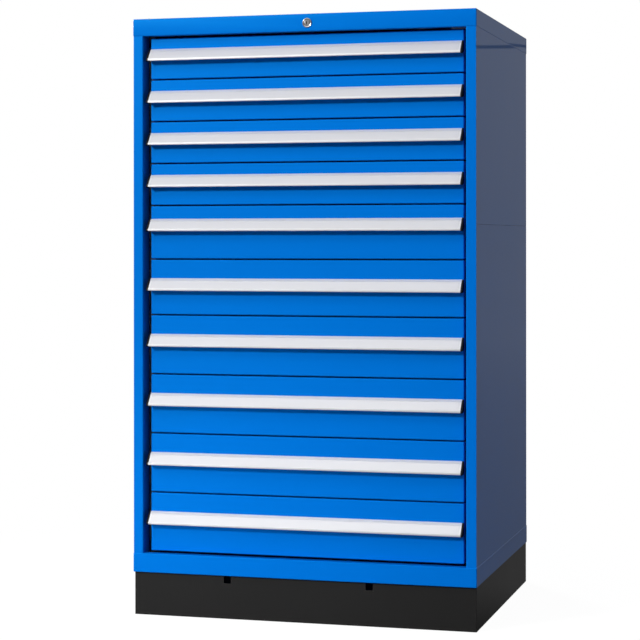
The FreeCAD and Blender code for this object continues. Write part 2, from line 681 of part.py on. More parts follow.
# Lock nut, which clamps the housing against the back of the rail
nut_blank = hexagon("lock_nut_blank", "lock_nut_width", TO_REAR,
                    ("lock_offset", f"-{INNER_HALF_DEPTH}", LOCK_HEIGHT), "lock_nut_height")
nut_bore = rod("lock_nut_bore", "barrel_diameter", f"-{INNER_HALF_DEPTH}", LOCK_SPOT,
               "lock_nut_height")
node("lock_nut", cut("lock_nut", nut_blank, nut_bore))

# Lock plug with its keyway, upright at rest
plug = rod("plug_blank", "plug_diameter", PLUG_FRONT, LOCK_SPOT, f"{PLUG_END} - {PLUG_FRONT}")
keyway = box("keyway", ("lock_offset - key_slot_width / 2", "lock_offset + key_slot_width / 2"),
             (PLUG_FRONT, f"{PLUG_FRONT} + key_slot_depth"),
             (f"{LOCK_HEIGHT} - key_slot_height / 2", f"{LOCK_HEIGHT} + key_slot_height / 2"))
node("lock_plug", cut("lock_plug", plug, keyway))

# Cam on the plug's tail, whose pin drives the transfer bar
CAM_REAR = f"({PLUG_END} + cam_thickness)"
PIN_ACROSS = "(lock_offset + cam_radius * sin(cam_angle))"
PIN_HEIGHT = f"({LOCK_HEIGHT} - cam_radius * cos(cam_angle))"
hub = rod("cam_hub", "cam_hub", PLUG_END, LOCK_SPOT, "cam_thickness")
boss = rod("cam_boss", "cam_boss", PLUG_END, (PIN_ACROSS, PIN_HEIGHT), "cam_thickness")
cam_pin = rod("cam_pin", "pin_diameter", PLUG_END, (PIN_ACROSS, PIN_HEIGHT), "cam_thickness + pin_reach")
node("lock_cam", fuse("lock_cam", [hub, boss, cam_pin]))

# Transfer bar: slides left when the key turns, and lifts the lock bar on its sloped slot.
# It is drawn from the left foot corner of the bar, with the wider plate at its right end.
TRANSFER_FRONT = f"({CAM_REAR} + bar_gap)"
TRANSFER_REAR = f"({TRANSFER_FRONT} + transfer_thickness)"
PLATE_RIGHT = f"({POST_INNER} - transfer_end_gap)"
BAR_LEFT = "(lock_offset - transfer_left_end)"
BAR_LENGTH = f"({PLATE_RIGHT} - {BAR_LEFT})"
PLATE_LEFT = f"({BAR_LENGTH} - lift_plate_width)"
PLATE_MARGIN = "((lift_plate_height - transfer_height) / 2)"
TRANSFER_TRAVEL = "(2 * cam_radius * sin(cam_angle))"
LIFT_PIN_ACROSS = f"({PLATE_RIGHT} - lift_slot_inset)"
LIFT_PIN_HEIGHT = f"({LOCK_HEIGHT} - lift_slot_drop)"
BAR_FOOT = f"({LOCK_HEIGHT} - transfer_height)"
PIN_LEVEL = "(transfer_height + (lift_plate_height - transfer_height) / 2 - lift_slot_drop)"
END_RISE = f"(slot_margin * lift_travel / {TRANSFER_TRAVEL})"
SLOT_LEFT = f"({BAR_LENGTH} - lift_slot_inset - slot_margin)"
SLOT_RIGHT = f"({BAR_LENGTH} - lift_slot_inset + {TRANSFER_TRAVEL} + slot_margin)"
SLOT_LOW = f"({PIN_LEVEL} - {END_RISE})"
SLOT_HIGH = f"({PIN_LEVEL} + lift_travel + {END_RISE})"
CAM_SLOT_MIDDLE = f"({PIN_ACROSS} - {BAR_LEFT})"
CAM_SLOT_HALF = "(pin_diameter / 2 + cam_slot_gap)"
CAM_SLOT_TOP = f"(transfer_height + {PLATE_MARGIN} - cam_radius * cos(cam_angle) + {CAM_SLOT_HALF})"
CAM_SLOT_FOOT = f"(transfer_height + {PLATE_MARGIN} - cam_radius - {CAM_SLOT_HALF})"
transfer_bar = body("transfer_bar", [
    (0, PLATE_MARGIN),
    (PLATE_LEFT, PLATE_MARGIN),
    (PLATE_LEFT, 0),
    (BAR_LENGTH, 0),
    (BAR_LENGTH, "lift_plate_height"),
    (PLATE_LEFT, "lift_plate_height"),
    (PLATE_LEFT, f"{PLATE_MARGIN} + transfer_height"),
    (0, f"{PLATE_MARGIN} + transfer_height"),
], "transfer_thickness", [[
    (SLOT_LEFT, f"{SLOT_LOW} - lift_slot_half"),
    (SLOT_RIGHT, f"{SLOT_HIGH} - lift_slot_half"),
    (SLOT_RIGHT, f"{SLOT_HIGH} + lift_slot_half"),
    (SLOT_LEFT, f"{SLOT_LOW} + lift_slot_half"),
], [
    (f"{CAM_SLOT_MIDDLE} - {CAM_SLOT_HALF}", CAM_SLOT_FOOT),
    (f"{CAM_SLOT_MIDDLE} + {CAM_SLOT_HALF}", CAM_SLOT_FOOT),
    (f"{CAM_SLOT_MIDDLE} + {CAM_SLOT_HALF}", CAM_SLOT_TOP),
    (f"{CAM_SLOT_MIDDLE} - {CAM_SLOT_HALF}", CAM_SLOT_TOP),
]])
transfer_bar.Placement.Rotation = TO_FRONT
move(transfer_bar, (BAR_LEFT, TRANSFER_REAR, f"{BAR_FOOT} - {PLATE_MARGIN}"))
node("transfer_bar", transfer_bar)

# Lock bar behind the right post: a flat with an arm, a pin and hooks riveted to it, which rise in
# front of the drawers' catches
POST_REAR = f"(post_return - {INNER_HALF_DEPTH})"
BAR_FRONT = f"({POST_REAR} + bar_front_gap)"
BAR_REAR = f"({BAR_FRONT} + bar_depth)"
bar_across = (f"{PANEL_INNER} - bar_side_gap - bar_thickness", f"{PANEL_INNER} - bar_side_gap")
lowest = drawers[0][1]
bar_foot = f"{lowest} + catch_rise - hook_rest_gap - hook_height - bar_tail"
arm_top = f"({LIFT_PIN_HEIGHT} + arm_height / 2)"
LIFT_PIN_TIP = f"({TRANSFER_REAR} - pin_reach)"
bar_pieces = [
    box("lock_flat", bar_across, (BAR_FRONT, BAR_REAR), (bar_foot, arm_top)),
    box("lock_arm", (f"{LIFT_PIN_ACROSS} - arm_height / 2", bar_across[0]),
        (BAR_FRONT, f"{BAR_FRONT} + hook_depth"), (f"{LIFT_PIN_HEIGHT} - arm_height / 2", arm_top)),
    rod("lift_pin", "pin_diameter", LIFT_PIN_TIP, (LIFT_PIN_ACROSS, LIFT_PIN_HEIGHT),
        f"{BAR_FRONT} - {LIFT_PIN_TIP}"),
]
for number, foot, height, drop in drawers:
    hook_top = f"({foot} + catch_rise - hook_rest_gap)"
    bar_pieces.append(box("lock_hook", (f"{bar_across[0]} - hook_length", bar_across[0]),
                          (BAR_FRONT, f"{BAR_FRONT} + hook_depth"), (f"{hook_top} - hook_height", hook_top)))
node("lock_bar", group("lock_bar", bar_pieces))

# Guides: rings round the lock bar on the post, and brackets under the roof for the transfer bar
GUIDED_DRAWERS = (2, 4, 7, 10)
guides = []
for number, foot, height, drop in drawers:
    if number in GUIDED_DRAWERS:
        ring = (f"{foot} + guide_rise", f"{foot} + guide_rise + guide_height")
        hole_across = (f"{bar_across[0]} - bar_gap", f"{bar_across[1]} + bar_gap")
        hole_along = (f"{BAR_FRONT} - bar_gap", f"{BAR_REAR} + bar_gap")
        block = box("guide_block", (f"{hole_across[0]} - guide_wall", f"{hole_across[1]} + guide_wall"),
                    (POST_REAR, f"{hole_along[1]} + guide_wall"), ring)
        guides.append(cut("bar_guide", block, box("guide_hole", hole_across, hole_along, ring)))
LEDGE = f"({BAR_FOOT} - bar_gap)"
BRACKET_COUNT = 2
for place in range(BRACKET_COUNT):
    left = f"(bracket_left + {place} * bracket_pitch)"
    across = (left, f"{left} + bracket_width")
    rear = (f"{TRANSFER_REAR} + bar_gap", f"{TRANSFER_REAR} + bar_gap + guide_wall")
    front = (f"{TRANSFER_FRONT} - bar_gap - guide_wall", f"{TRANSFER_FRONT} - bar_gap")
    guides.append(fuse("transfer_bracket", [
        box("bracket_hanger", across, rear, (f"{LEDGE} - guide_wall", ROOF)),
        box("bracket_ledge", across, (front[0], rear[1]), (f"{LEDGE} - guide_wall", LEDGE)),
        box("bracket_lip", across, front, (f"{LEDGE} - guide_wall", f"{LEDGE} + transfer_height / 3")),
    ]))
node("lock_guides", group("lock_guides", guides))

doc.recompute()

# Nothing is written unless every object and every sub-part is sound
failed = [thing.Name for thing in doc.Objects if {"Invalid", "Error"} & set(thing.State)]
if failed:
    raise RuntimeError("failed objects: " + ", ".join(failed))
for thing in nodes:
    if thing.Shape.isNull() or not thing.Shape.isValid() or not thing.Shape.Solids:
        raise RuntimeError("bad shape: " + thing.Label)

os.makedirs("parts", exist_ok=True)
for thing in nodes:
    thing.Shape.exportStep(os.path.join("parts", thing.Label + ".step"))
extent = Part.makeCompound([thing.Shape for thing in nodes]).BoundBox
lengths = [round(length, 2) for length in (extent.XLength, extent.YLength, extent.ZLength)]
print(len(nodes), "nodes, overall", lengths)
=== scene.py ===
import math

import bpy
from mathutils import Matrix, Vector


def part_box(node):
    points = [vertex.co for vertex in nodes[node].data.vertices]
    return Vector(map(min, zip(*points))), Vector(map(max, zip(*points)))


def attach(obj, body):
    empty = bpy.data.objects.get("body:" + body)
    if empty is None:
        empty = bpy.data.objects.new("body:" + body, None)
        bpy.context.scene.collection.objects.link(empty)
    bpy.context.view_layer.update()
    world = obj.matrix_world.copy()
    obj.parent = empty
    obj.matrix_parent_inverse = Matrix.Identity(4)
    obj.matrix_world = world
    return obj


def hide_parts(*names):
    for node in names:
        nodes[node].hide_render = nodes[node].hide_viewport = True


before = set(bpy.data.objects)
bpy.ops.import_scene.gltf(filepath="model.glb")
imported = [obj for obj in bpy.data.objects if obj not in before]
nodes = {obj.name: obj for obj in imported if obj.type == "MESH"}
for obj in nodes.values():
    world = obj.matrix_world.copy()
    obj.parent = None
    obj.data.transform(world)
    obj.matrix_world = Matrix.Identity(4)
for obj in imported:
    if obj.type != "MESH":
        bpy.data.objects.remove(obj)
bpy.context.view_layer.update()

print("frame loaded:", len(nodes), "nodes")


# small helpers for selecting and finishing

def clearSelection():
    active = bpy.context.view_layer.objects.active
    if active and active.mode != "OBJECT":
        bpy.ops.object.mode_set(mode="OBJECT")
    bpy.ops.object.select_all(action="DESELECT")


def makeActive(piece):
    clearSelection()
    piece.select_set(True)
    bpy.context.view_layer.objects.active = piece


def settle(piece):
    # the object goes back to the origin and its place goes into the mesh
    makeActive(piece)
    bpy.ops.object.transform_apply(location=True, rotation=True, scale=True)


# camera, solved from the photo's edges

cameraSetup = {
    "place": (1.3641, -5.1143, 0.9819),
    "turnDegrees": (90, 0.035, 15.5),
    "lens": 108.31,
    "sensor": 36,
    "shiftUp": -0.12542,
}
bpy.ops.object.camera_add(location=cameraSetup["place"],
                          rotation=[math.radians(turn) for turn in cameraSetup["turnDegrees"]])
camera = bpy.context.object
camera.name = "photoCamera"
camera.data.lens = cameraSetup["lens"]
camera.data.sensor_width = cameraSetup["sensor"]
camera.data.shift_y = cameraSetup["shiftUp"]
bpy.context.scene.camera = camera
bpy.context.scene.view_settings.view_transform = "Standard"

# lamps

lampSetup = {
    "key": {"place": (-5.8, -8.4, 4.75), "aim": (0, -0.38, 0.85), "size": (1.5, 1.5), "watts": 925,
            "shines": True},
    "canopy": {"place": (-0.6, -3.4, 4.6), "aim": (0, -0.38, 0.9), "size": (3.2, 1.6), "watts": 75,
               "shines": False},
    "apron": {"place": (-1.3, -1.9, 0.42), "aim": (-0.15, -0.38, 0.0), "size": (0.8, 0.4), "watts": 1.75,
              "spread": 60, "shines": False},
    "rear": {"place": (-3.2, 5.2, 3.0), "aim": (0, 0.38, 0.85), "size": (1.6, 1.6), "watts": 300,
             "shines": True},
}
for name, lamp in lampSetup.items():
    bpy.ops.object.light_add(type="AREA", location=lamp["place"])
    light = bpy.context.object
    light.name = name + "Lamp"
    light.data.shape = "ELLIPSE" if lamp["shines"] else "RECTANGLE"
    light.data.size, light.data.size_y = lamp["size"]
    light.data.energy = lamp["watts"]
    light.data.spread = math.radians(lamp.get("spread", 180))
    light.rotation_euler = (Vector(lamp["aim"]) - Vector(lamp["place"])).to_track_quat("-Z", "Y").to_euler()
    light.visible_camera = False
    light.visible_glossy = lamp["shines"]  # whether shiny faces show the lamp
print("camera and lamps set")

# world: white to the camera, a dim studio to everything else

worldSetup = {
    "fill": (0.02, 0.29), "fillSpan": (0.1, 0.9),
    "wall": (0.20, 0.255), "wallSpan": (0.0, 0.14),
    "front": 0.015, "frontSpan": (-0.2, 0.25),
    "canopyAim": (-0.20, -0.55, 0.81), "canopy": 1.3, "canopySpan": (0.80, 0.96),
    "edgeRise": 0.0992, "edgeHalf": 0.0006, "edgeFade": 0.00108, "edgeTone": 0.01,
}
world = bpy.data.worlds.new("studio")
bpy.context.scene.world = world
world.use_nodes = True
tree = world.node_tree
tree.nodes.clear()


def addNode(tree, kind, **values):
    node = tree.nodes.new(kind)
    for key, value in values.items():
        if key in node.inputs.keys():
            node.inputs[key].default_value = value
        else:
            setattr(node, key, value)
    return node


def join(tree, start, end):
    tree.links.new(start, end)


def mapped(tree, source, fromLow, fromHigh, toLow, toHigh, kind="LINEAR"):
    # one range of values laid onto another
    node = addNode(tree, "ShaderNodeMapRange", interpolation_type=kind, **{
        "From Min": fromLow, "From Max": fromHigh, "To Min": toLow, "To Max": toHigh})
    join(tree, source, node.inputs["Value"])
    return node.outputs["Result"]


def worked(tree, operation, *values):
    # one step of arithmetic on sockets or plain numbers
    node = addNode(tree, "ShaderNodeMath", operation=operation)
    for position, value in enumerate(values):
        if isinstance(value, (int, float)):
            node.inputs[position].default_value = value
        else:
            join(tree, value, node.inputs[position])
    return node.outputs[0]


def mixed(tree, share, first, second):
    # share 0 gives the first value, share 1 the second
    node = addNode(tree, "ShaderNodeMix")
    for key, value in (("Factor", share), ("A", first), ("B", second)):
        if isinstance(value, (int, float)):
            node.inputs[key].default_value = value
        else:
            join(tree, value, node.inputs[key])
    return node.outputs["Result"]


place = addNode(tree, "ShaderNodeTexCoord")
split = addNode(tree, "ShaderNodeSeparateXYZ")
join(tree, place.outputs["Generated"], split.inputs[0])
lightPath = addNode(tree, "ShaderNodeLightPath")
# soft fill, stronger from the cabinet's right
fill = mapped(tree, split.outputs["X"], *worldSetup["fillSpan"], *worldSetup["fill"], "SMOOTHSTEP")
# what shiny faces show: a dim front, a pale rear wall with one dark edge, and a canopy above the front
wall = mapped(tree, split.outputs["Z"], *worldSetup["wallSpan"], *worldSetup["wall"])
fromEdge = worked(tree, "ABSOLUTE", worked(tree, "SUBTRACT", split.outputs["Z"], worldSetup["edgeRise"]))
edge = mapped(tree, fromEdge, worldSetup["edgeHalf"], worldSetup["edgeFade"], 1.0, 0.0)
wall = mixed(tree, edge, wall, worldSetup["edgeTone"])
toRear = mapped(tree, split.outputs["Y"], *worldSetup["frontSpan"], 0.0, 1.0)
gloss = mixed(tree, toRear, worldSetup["front"], wall)
toCanopy = addNode(tree, "ShaderNodeVectorMath", operation="DOT_PRODUCT")
join(tree, place.outputs["Generated"], toCanopy.inputs[0])
toCanopy.inputs[1].default_value = worldSetup["canopyAim"]
inCanopy = mapped(tree, toCanopy.outputs["Value"], *worldSetup["canopySpan"], 0.0, 1.0, "SMOOTHSTEP")
gloss = mixed(tree, inCanopy, gloss, worldSetup["canopy"])
unseen = mixed(tree, lightPath.outputs["Is Glossy Ray"], fill, gloss)
background = addNode(tree, "ShaderNodeBackground", Color=(1, 1, 1, 1))
join(tree, mixed(tree, lightPath.outputs["Is Camera Ray"], unseen, 1.0), background.inputs["Strength"])
worldOut = addNode(tree, "ShaderNodeOutputWorld")
join(tree, background.outputs[0], worldOut.inputs["Surface"])
print("world set")


# shader groups

def startGroup(name, inputs, outputs):
    group = bpy.data.node_groups.new(name, "ShaderNodeTree")
    for label, kind, value in inputs:
        socket = group.interface.new_socket(name=label, in_out="INPUT", socket_type=kind)
        socket.default_value = value
    for label, kind in outputs:
        group.interface.new_socket(name=label, in_out="OUTPUT", socket_type=kind)
    start = group.nodes.new("NodeGroupInput")
    end = group.nodes.new("NodeGroupOutput")
    return group, start, end


# orange peel of sprayed paint, as a height
orangePeel, start, end = startGroup(
    "orangePeel", [("Place", "NodeSocketVector", (0, 0, 0)), ("Grain", "NodeSocketFloat", 600.0)],
    [("Height", "NodeSocketFloat")])
coarse = addNode(orangePeel, "ShaderNodeTexNoise", Detail=2.0, Roughness=0.55)
join(orangePeel, start.outputs["Place"], coarse.inputs["Vector"])
join(orangePeel, start.outputs["Grain"], coarse.inputs["Scale"])
join(orangePeel, coarse.outputs["Fac"], end.inputs["Height"])

# slow drift of a colour over a sheet, between two shades
slowDrift, start, end = startGroup(
    "slowDrift",
    [("Place", "NodeSocketVector", (0, 0, 0)), ("Shade", "NodeSocketColor", (0.5, 0.5, 0.5, 1)),
     ("Amount", "NodeSocketFloat", 0.04), ("Spread", "NodeSocketFloat", 3.0)],
    [("Color", "NodeSocketColor"), ("Mask", "NodeSocketFloat")])
cloud = addNode(slowDrift, "ShaderNodeTexNoise", Detail=3.0, Roughness=0.6)
join(slowDrift, start.outputs["Place"], cloud.inputs["Vector"])
join(slowDrift, start.outputs["Spread"], cloud.inputs["Scale"])
swing = worked(slowDrift, "SUBTRACT", cloud.outputs["Fac"], 0.5)
lift = worked(slowDrift, "ADD", worked(slowDrift, "MULTIPLY", swing, start.outputs["Amount"]), 1.0)
scaled = addNode(slowDrift, "ShaderNodeVectorMath", operation="SCALE")
join(slowDrift, start.outputs["Shade"], scaled.inputs[0])
join(slowDrift, lift, scaled.inputs["Scale"])
join(slowDrift, scaled.outputs[0], end.inputs["Color"])
join(slowDrift, cloud.outputs["Fac"], end.inputs["Mask"])

# fine lines along the cabinet's width, as on drawn and anodised aluminium
drawnLines, start, end = startGroup(
    "drawnLines", [("Place", "NodeSocketVector", (0, 0, 0)), ("Fineness", "NodeSocketFloat", 900.0)],
    [("Mask", "NodeSocketFloat")])
stretch = addNode(drawnLines, "ShaderNodeVectorMath", operation="MULTIPLY")
stretch.inputs[1].default_value = (0.012, 1.0, 1.0)  # drawn out along X
join(drawnLines, start.outputs["Place"], stretch.inputs[0])
streaks = addNode(drawnLines, "ShaderNodeTexNoise", Detail=2.0, Roughness=0.5)
join(drawnLines, stretch.outputs[0], streaks.inputs["Vector"])
join(drawnLines, start.outputs["Fineness"], streaks.inputs["Scale"])
join(drawnLines, streaks.outputs["Fac"], end.inputs["Mask"])

# crystals of zinc on galvanised sheet
zincSpangle, start, end = startGroup(
    "zincSpangle",
    [("Place", "NodeSocketVector", (0, 0, 0)), ("Dark", "NodeSocketColor", (0.4, 0.4, 0.42, 1)),
     ("Light", "NodeSocketColor", (0.6, 0.61, 0.63, 1)), ("Grain", "NodeSocketFloat", 160.0)],
    [("Color", "NodeSocketColor"), ("Mask", "NodeSocketFloat")])
cells = addNode(zincSpangle, "ShaderNodeTexVoronoi")
join(zincSpangle, start.outputs["Place"], cells.inputs["Vector"])
join(zincSpangle, start.outputs["Grain"], cells.inputs["Scale"])
tone = addNode(zincSpangle, "ShaderNodeSeparateColor")
join(zincSpangle, cells.outputs["Color"], tone.inputs[0])
blendTone = addNode(zincSpangle, "ShaderNodeMix", data_type="RGBA")
join(zincSpangle, tone.outputs[0], blendTone.inputs["Factor"])
join(zincSpangle, start.outputs["Dark"], blendTone.inputs[6])
join(zincSpangle, start.outputs["Light"], blendTone.inputs[7])
join(zincSpangle, blendTone.outputs[2], end.inputs["Color"])
join(zincSpangle, tone.outputs[0], end.inputs["Mask"])
print("shader groups made")


# materials

def startMaterial(name, **settings):
    material = bpy.data.materials.new(name)
    material.use_nodes = True
    shader = material.node_tree.nodes["Principled BSDF"]
    for key, value in settings.items():
        shader.inputs[key].default_value = value
    coords = material.node_tree.nodes.new("ShaderNodeTexCoord")
    return material, material.node_tree, shader, coords.outputs["Object"]


def useGroup(tree, group, coords, **values):
    node = tree.nodes.new("ShaderNodeGroup")
    node.node_tree = group
    join(tree, coords, node.inputs["Place"])
    for key, value in values.items():
        node.inputs[key].default_value = value
    return node


def roughen(tree, shader, mask, look):
    # a mask laid between the finish's two roughness values
    join(tree, mapped(tree, mask, 0.0, 1.0, *look["roughness"]), shader.inputs["Roughness"])


def drift(tree, shader, coords, look):
    # the finish's colour with its slow drift, whose mask is given back
    tone = useGroup(tree, slowDrift, coords, Shade=look["color"], Amount=look["drift"],
                    Spread=look["spread"])
    join(tree, tone.outputs["Color"], shader.inputs["Base Color"])
    return tone.outputs["Mask"]


def addBump(tree, shader, height, distance):
    bump = addNode(tree, "ShaderNodeBump", Strength=1.0, Distance=distance)
    join(tree, height, bump.inputs["Height"])
    join(tree, bump.outputs["Normal"], shader.inputs["Normal"])


bluePaint = {"color": (0.0, 0.146, 0.610, 1), "roughness": (0.38, 0.43), "drift": 0.05, "spread": 2.5,
             "shine": 0.34, "tint": (0.0, 0.66, 1.0, 1), "coat": 0.6, "grain": 420.0}
blackPaint = {"color": (0.0105, 0.0103, 0.0103, 1), "roughness": (0.42, 0.5), "drift": 0.05, "spread": 2.5,
              "shine": 0.3, "tint": (1, 1, 1, 1), "coat": 0.26, "grain": 700.0}
sprayed = {"sides": (0.4538, 0.4545), "coatRoughness": 0.02, "peel": 0.00004}


def sprayedPaint(name, look):
    material, tree, shader, coords = startMaterial(name, **{
        "Specular IOR Level": look["shine"], "Specular Tint": look["tint"],
        "Coat Roughness": sprayed["coatRoughness"]})
    # the cabinet's two sides are glossier than its front
    apart = addNode(tree, "ShaderNodeSeparateXYZ")
    join(tree, coords, apart.inputs[0])
    outward = worked(tree, "ABSOLUTE", apart.outputs["X"])
    join(tree, mapped(tree, outward, *sprayed["sides"], 0.0, look["coat"]), shader.inputs["Coat Weight"])
    roughen(tree, shader, drift(tree, shader, coords, look), look)
    peel = useGroup(tree, orangePeel, coords, Grain=look["grain"])
    addBump(tree, shader, peel.outputs["Height"], sprayed["peel"])
    return material


cabinetBlue = sprayedPaint("cabinetBlue", bluePaint)
plinthBlack = sprayedPaint("plinthBlack", blackPaint)

zincLook = {"dark": (0.36, 0.37, 0.38, 1), "light": (0.56, 0.57, 0.58, 1), "roughness": (0.32, 0.5),
            "grain": 150.0, "metal": 0.6}
zincSteel, tree, shader, coords = startMaterial("zincSteel", Metallic=zincLook["metal"])
spangle = useGroup(tree, zincSpangle, coords, Dark=zincLook["dark"], Light=zincLook["light"],
                   Grain=zincLook["grain"])
join(tree, spangle.outputs["Color"], shader.inputs["Base Color"])
roughen(tree, shader, spangle.outputs["Mask"], zincLook)

aluminiumLook = {"color": (0.74, 0.74, 0.755, 1), "roughness": (0.40, 0.47), "drift": 0.04, "spread": 6.0,
                 "fineness": 900.0, "lineDepth": 0.00001, "metal": 0.4}
handleAluminium, tree, shader, coords = startMaterial("handleAluminium", Metallic=aluminiumLook["metal"])
drift(tree, shader, coords, aluminiumLook)
lines = useGroup(tree, drawnLines, coords, Fineness=aluminiumLook["fineness"])
roughen(tree, shader, lines.outputs["Mask"], aluminiumLook)
addBump(tree, shader, lines.outputs["Mask"], aluminiumLook["lineDepth"])

labelLook = {"color": (0.685, 0.685, 0.70, 1), "roughness": (0.36, 0.44), "drift": 0.03, "spread": 8.0,
             "metal": 0.4}
labelPlastic, tree, shader, coords = startMaterial("labelPlastic", Metallic=labelLook["metal"])
roughen(tree, shader, drift(tree, shader, coords, labelLook), labelLook)

capLook = {"color": (0.003, 0.003, 0.003, 1), "roughness": (0.5, 0.6), "drift": 0.1, "spread": 40.0,
           "shine": 0.2, "grain": 2500.0, "grainDepth": 0.00003}
capPlastic, tree, shader, coords = startMaterial("capPlastic", **{"Specular IOR Level": capLook["shine"]})
roughen(tree, shader, drift(tree, shader, coords, capLook), capLook)
grain = useGroup(tree, orangePeel, coords, Grain=capLook["grain"])
addBump(tree, shader, grain.outputs["Height"], capLook["grainDepth"])

chromeLook = {"color": (0.55, 0.55, 0.56, 1), "roughness": (0.16, 0.26), "drift": 0.08, "spread": 60.0,
              "metal": 0.75}
lockChrome, tree, shader, coords = startMaterial("lockChrome", Metallic=chromeLook["metal"])
roughen(tree, shader, drift(tree, shader, coords, chromeLook), chromeLook)
print("materials made")

# CAD nodes: finish and softened edges

nodeFinish = {
    "top_cover": cabinetBlue, "bottom_pan": cabinetBlue, "left_side_panels": cabinetBlue,
    "right_side_panels": cabinetBlue, "back_panel": cabinetBlue, "left_post": cabinetBlue,
    "right_post": cabinetBlue, "plinth_frame": plinthBlack, "plinth_front_plate": plinthBlack,
    "lock_housing": lockChrome, "lock_plug": lockChrome,
}
groupFinish = {"drawer_": cabinetBlue, "handle_caps": capPlastic, "handle_": handleAluminium}
edgeSetup = {"weld": 0.00002, "width": 0.0004, "sideWidth": 0.00058, "steps": 2, "sharp": 35}
for name, node in nodes.items():
    finish = nodeFinish.get(name, zincSteel)
    for opening, groupMaterial in groupFinish.items():
        if name.startswith(opening):
            finish = groupMaterial
            break
    node.data.materials.clear()
    node.data.materials.append(finish)
    weld = node.modifiers.new("weld", "WELD")
    weld.merge_threshold = edgeSetup["weld"]
    soften = node.modifiers.new("soften", "BEVEL")
    soften.width = edgeSetup["sideWidth" if name.endswith("side_panels") else "width"]
    soften.segments = edgeSetup["steps"]
    soften.limit_method = "ANGLE"
    soften.angle_limit = math.radians(edgeSetup["sharp"])
    soften.harden_normals = False
print("nodes dressed")

# modelling by hand: blocks, drawn outlines, turned outlines, picked faces and edges

mergeWithin = 0.000002  # corners nearer than this become one
tolerance = 0.0001  # how far a picked corner may lie from its level
squarely = 0.9  # least share of a picked face's normal along its axis
roundLimit = 30  # degrees between two faces, from which their edge is rounded


def near(value, *levels):
    return min(abs(value - level) for level in levels) < tolerance


def addBlock(name, across, along, up):
    clearSelection()
    sides = (across, along, up)
    bpy.ops.mesh.primitive_cube_add(size=1, location=[(low + high) / 2 for low, high in sides],
                                    scale=[high - low for low, high in sides])
    piece = bpy.context.object
    piece.name = name
    settle(piece)
    return piece


def startPicking(piece, kind):
    makeActive(piece)
    bpy.ops.object.mode_set(mode="EDIT")
    bpy.ops.mesh.select_mode(type=kind)
    bpy.ops.mesh.select_all(action="DESELECT")
    bpy.ops.object.mode_set(mode="OBJECT")


def pickFaces(piece, test):
    startPicking(piece, "FACE")
    for face in piece.data.polygons:
        face.select = test(face.center, face.normal)
    bpy.ops.object.mode_set(mode="EDIT")


def pickEdges(piece, test):
    startPicking(piece, "EDGE")
    corners = piece.data.vertices
    for edge in piece.data.edges:
        start, end = (corners[corner].co for corner in edge.vertices)
        edge.select = test(start, end)
    bpy.ops.object.mode_set(mode="EDIT")


def extrude(step):
    bpy.ops.mesh.extrude_region_move(TRANSFORM_OT_translate={"value": step})


def closeUp(piece):
    # doubled corners merged, faces turned outward
    makeActive(piece)
    bpy.ops.object.mode_set(mode="EDIT")
    bpy.ops.mesh.select_all(action="SELECT")
    bpy.ops.mesh.remove_doubles(threshold=mergeWithin)
    bpy.ops.mesh.normals_make_consistent(inside=False)
    bpy.ops.object.mode_set(mode="OBJECT")


axisOrders = {"x": lambda first, second, length: (length, first, second),
              "y": lambda first, second, length: (first, length, second),
              "z": lambda first, second, length: (first, second, length)}


def drawOutline(name, points, toPlace, level):
    # a closed line, pulled out from one vertex step by step
    clearSelection()
    spots = [Vector(toPlace(*point, level)) for point in points]
    bpy.ops.mesh.primitive_plane_add(size=0.001, location=spots[0])
    piece = bpy.context.object
    piece.name = name
    settle(piece)
    bpy.ops.object.mode_set(mode="EDIT")
    bpy.ops.mesh.select_mode(type="VERT")
    bpy.ops.mesh.select_all(action="SELECT")
    bpy.ops.mesh.merge(type="CENTER")
    for before, after in zip(spots, spots[1:] + spots[:1]):
        bpy.ops.mesh.extrude_vertices_move(TRANSFORM_OT_translate={"value": after - before})
    bpy.ops.mesh.select_all(action="SELECT")
    bpy.ops.mesh.remove_doubles(threshold=mergeWithin)
    return piece


def growBar(name, points, axis, low, high):
    # a bar with the drawn section, along one axis from a low to a high end
    toPlace = axisOrders[axis]
    piece = drawOutline(name, points, toPlace, low)
    bpy.ops.mesh.edge_face_add()
    extrude(toPlace(0, 0, high - low))
    closeUp(piece)
    return piece


def turnOutline(name, points, middle, steps):
    # points are radius and depth; they turn about a line along the cabinet's depth
    across, up = middle
    piece = drawOutline(name, points, lambda radius, depth, level: (across + radius, depth, up), 0)
    bpy.ops.mesh.spin(steps=steps, angle=2 * math.pi, center=(across, 0, up), axis=(0, 1, 0))
    closeUp(piece)
    return piece


def roundOff(piece, width, steps):
    # rounded edges, with shading that keeps the large faces flat
    makeActive(piece)
    edge = piece.modifiers.new("edge", "BEVEL")
    edge.width = width
    edge.segments = steps
    edge.limit_method = "ANGLE"
    edge.angle_limit = math.radians(roundLimit)
    bpy.ops.object.modifier_apply(modifier="edge")
    smooth(piece)


def smooth(piece):
    makeActive(piece)
    bpy.ops.object.shade_smooth()
    piece.modifiers.new("faces", "WEIGHTED_NORMAL").keep_sharp = True
    bpy.ops.object.modifier_apply(modifier="faces")


def foldPicked(setup):
    # the picked edges become folds of the sheet
    bpy.ops.mesh.bevel(offset=setup["fold"], segments=setup["foldSteps"], affect="EDGES")
    bpy.ops.object.mode_set(mode="OBJECT")


def cutAway(piece, cutter):
    makeActive(piece)
    cut = piece.modifiers.new("cut", "BOOLEAN")
    cut.operation = "DIFFERENCE"
    cut.solver = "EXACT"
    cut.object = cutter
    bpy.ops.object.modifier_apply(modifier="cut")
    makeActive(cutter)
    bpy.ops.object.delete()


def unite(name, *parts):
    clearSelection()
    for part in parts:
        part.select_set(True)
    bpy.context.view_layer.objects.active = parts[0]
    bpy.ops.object.join()
    whole = bpy.context.object
    whole.name = name
    return whole


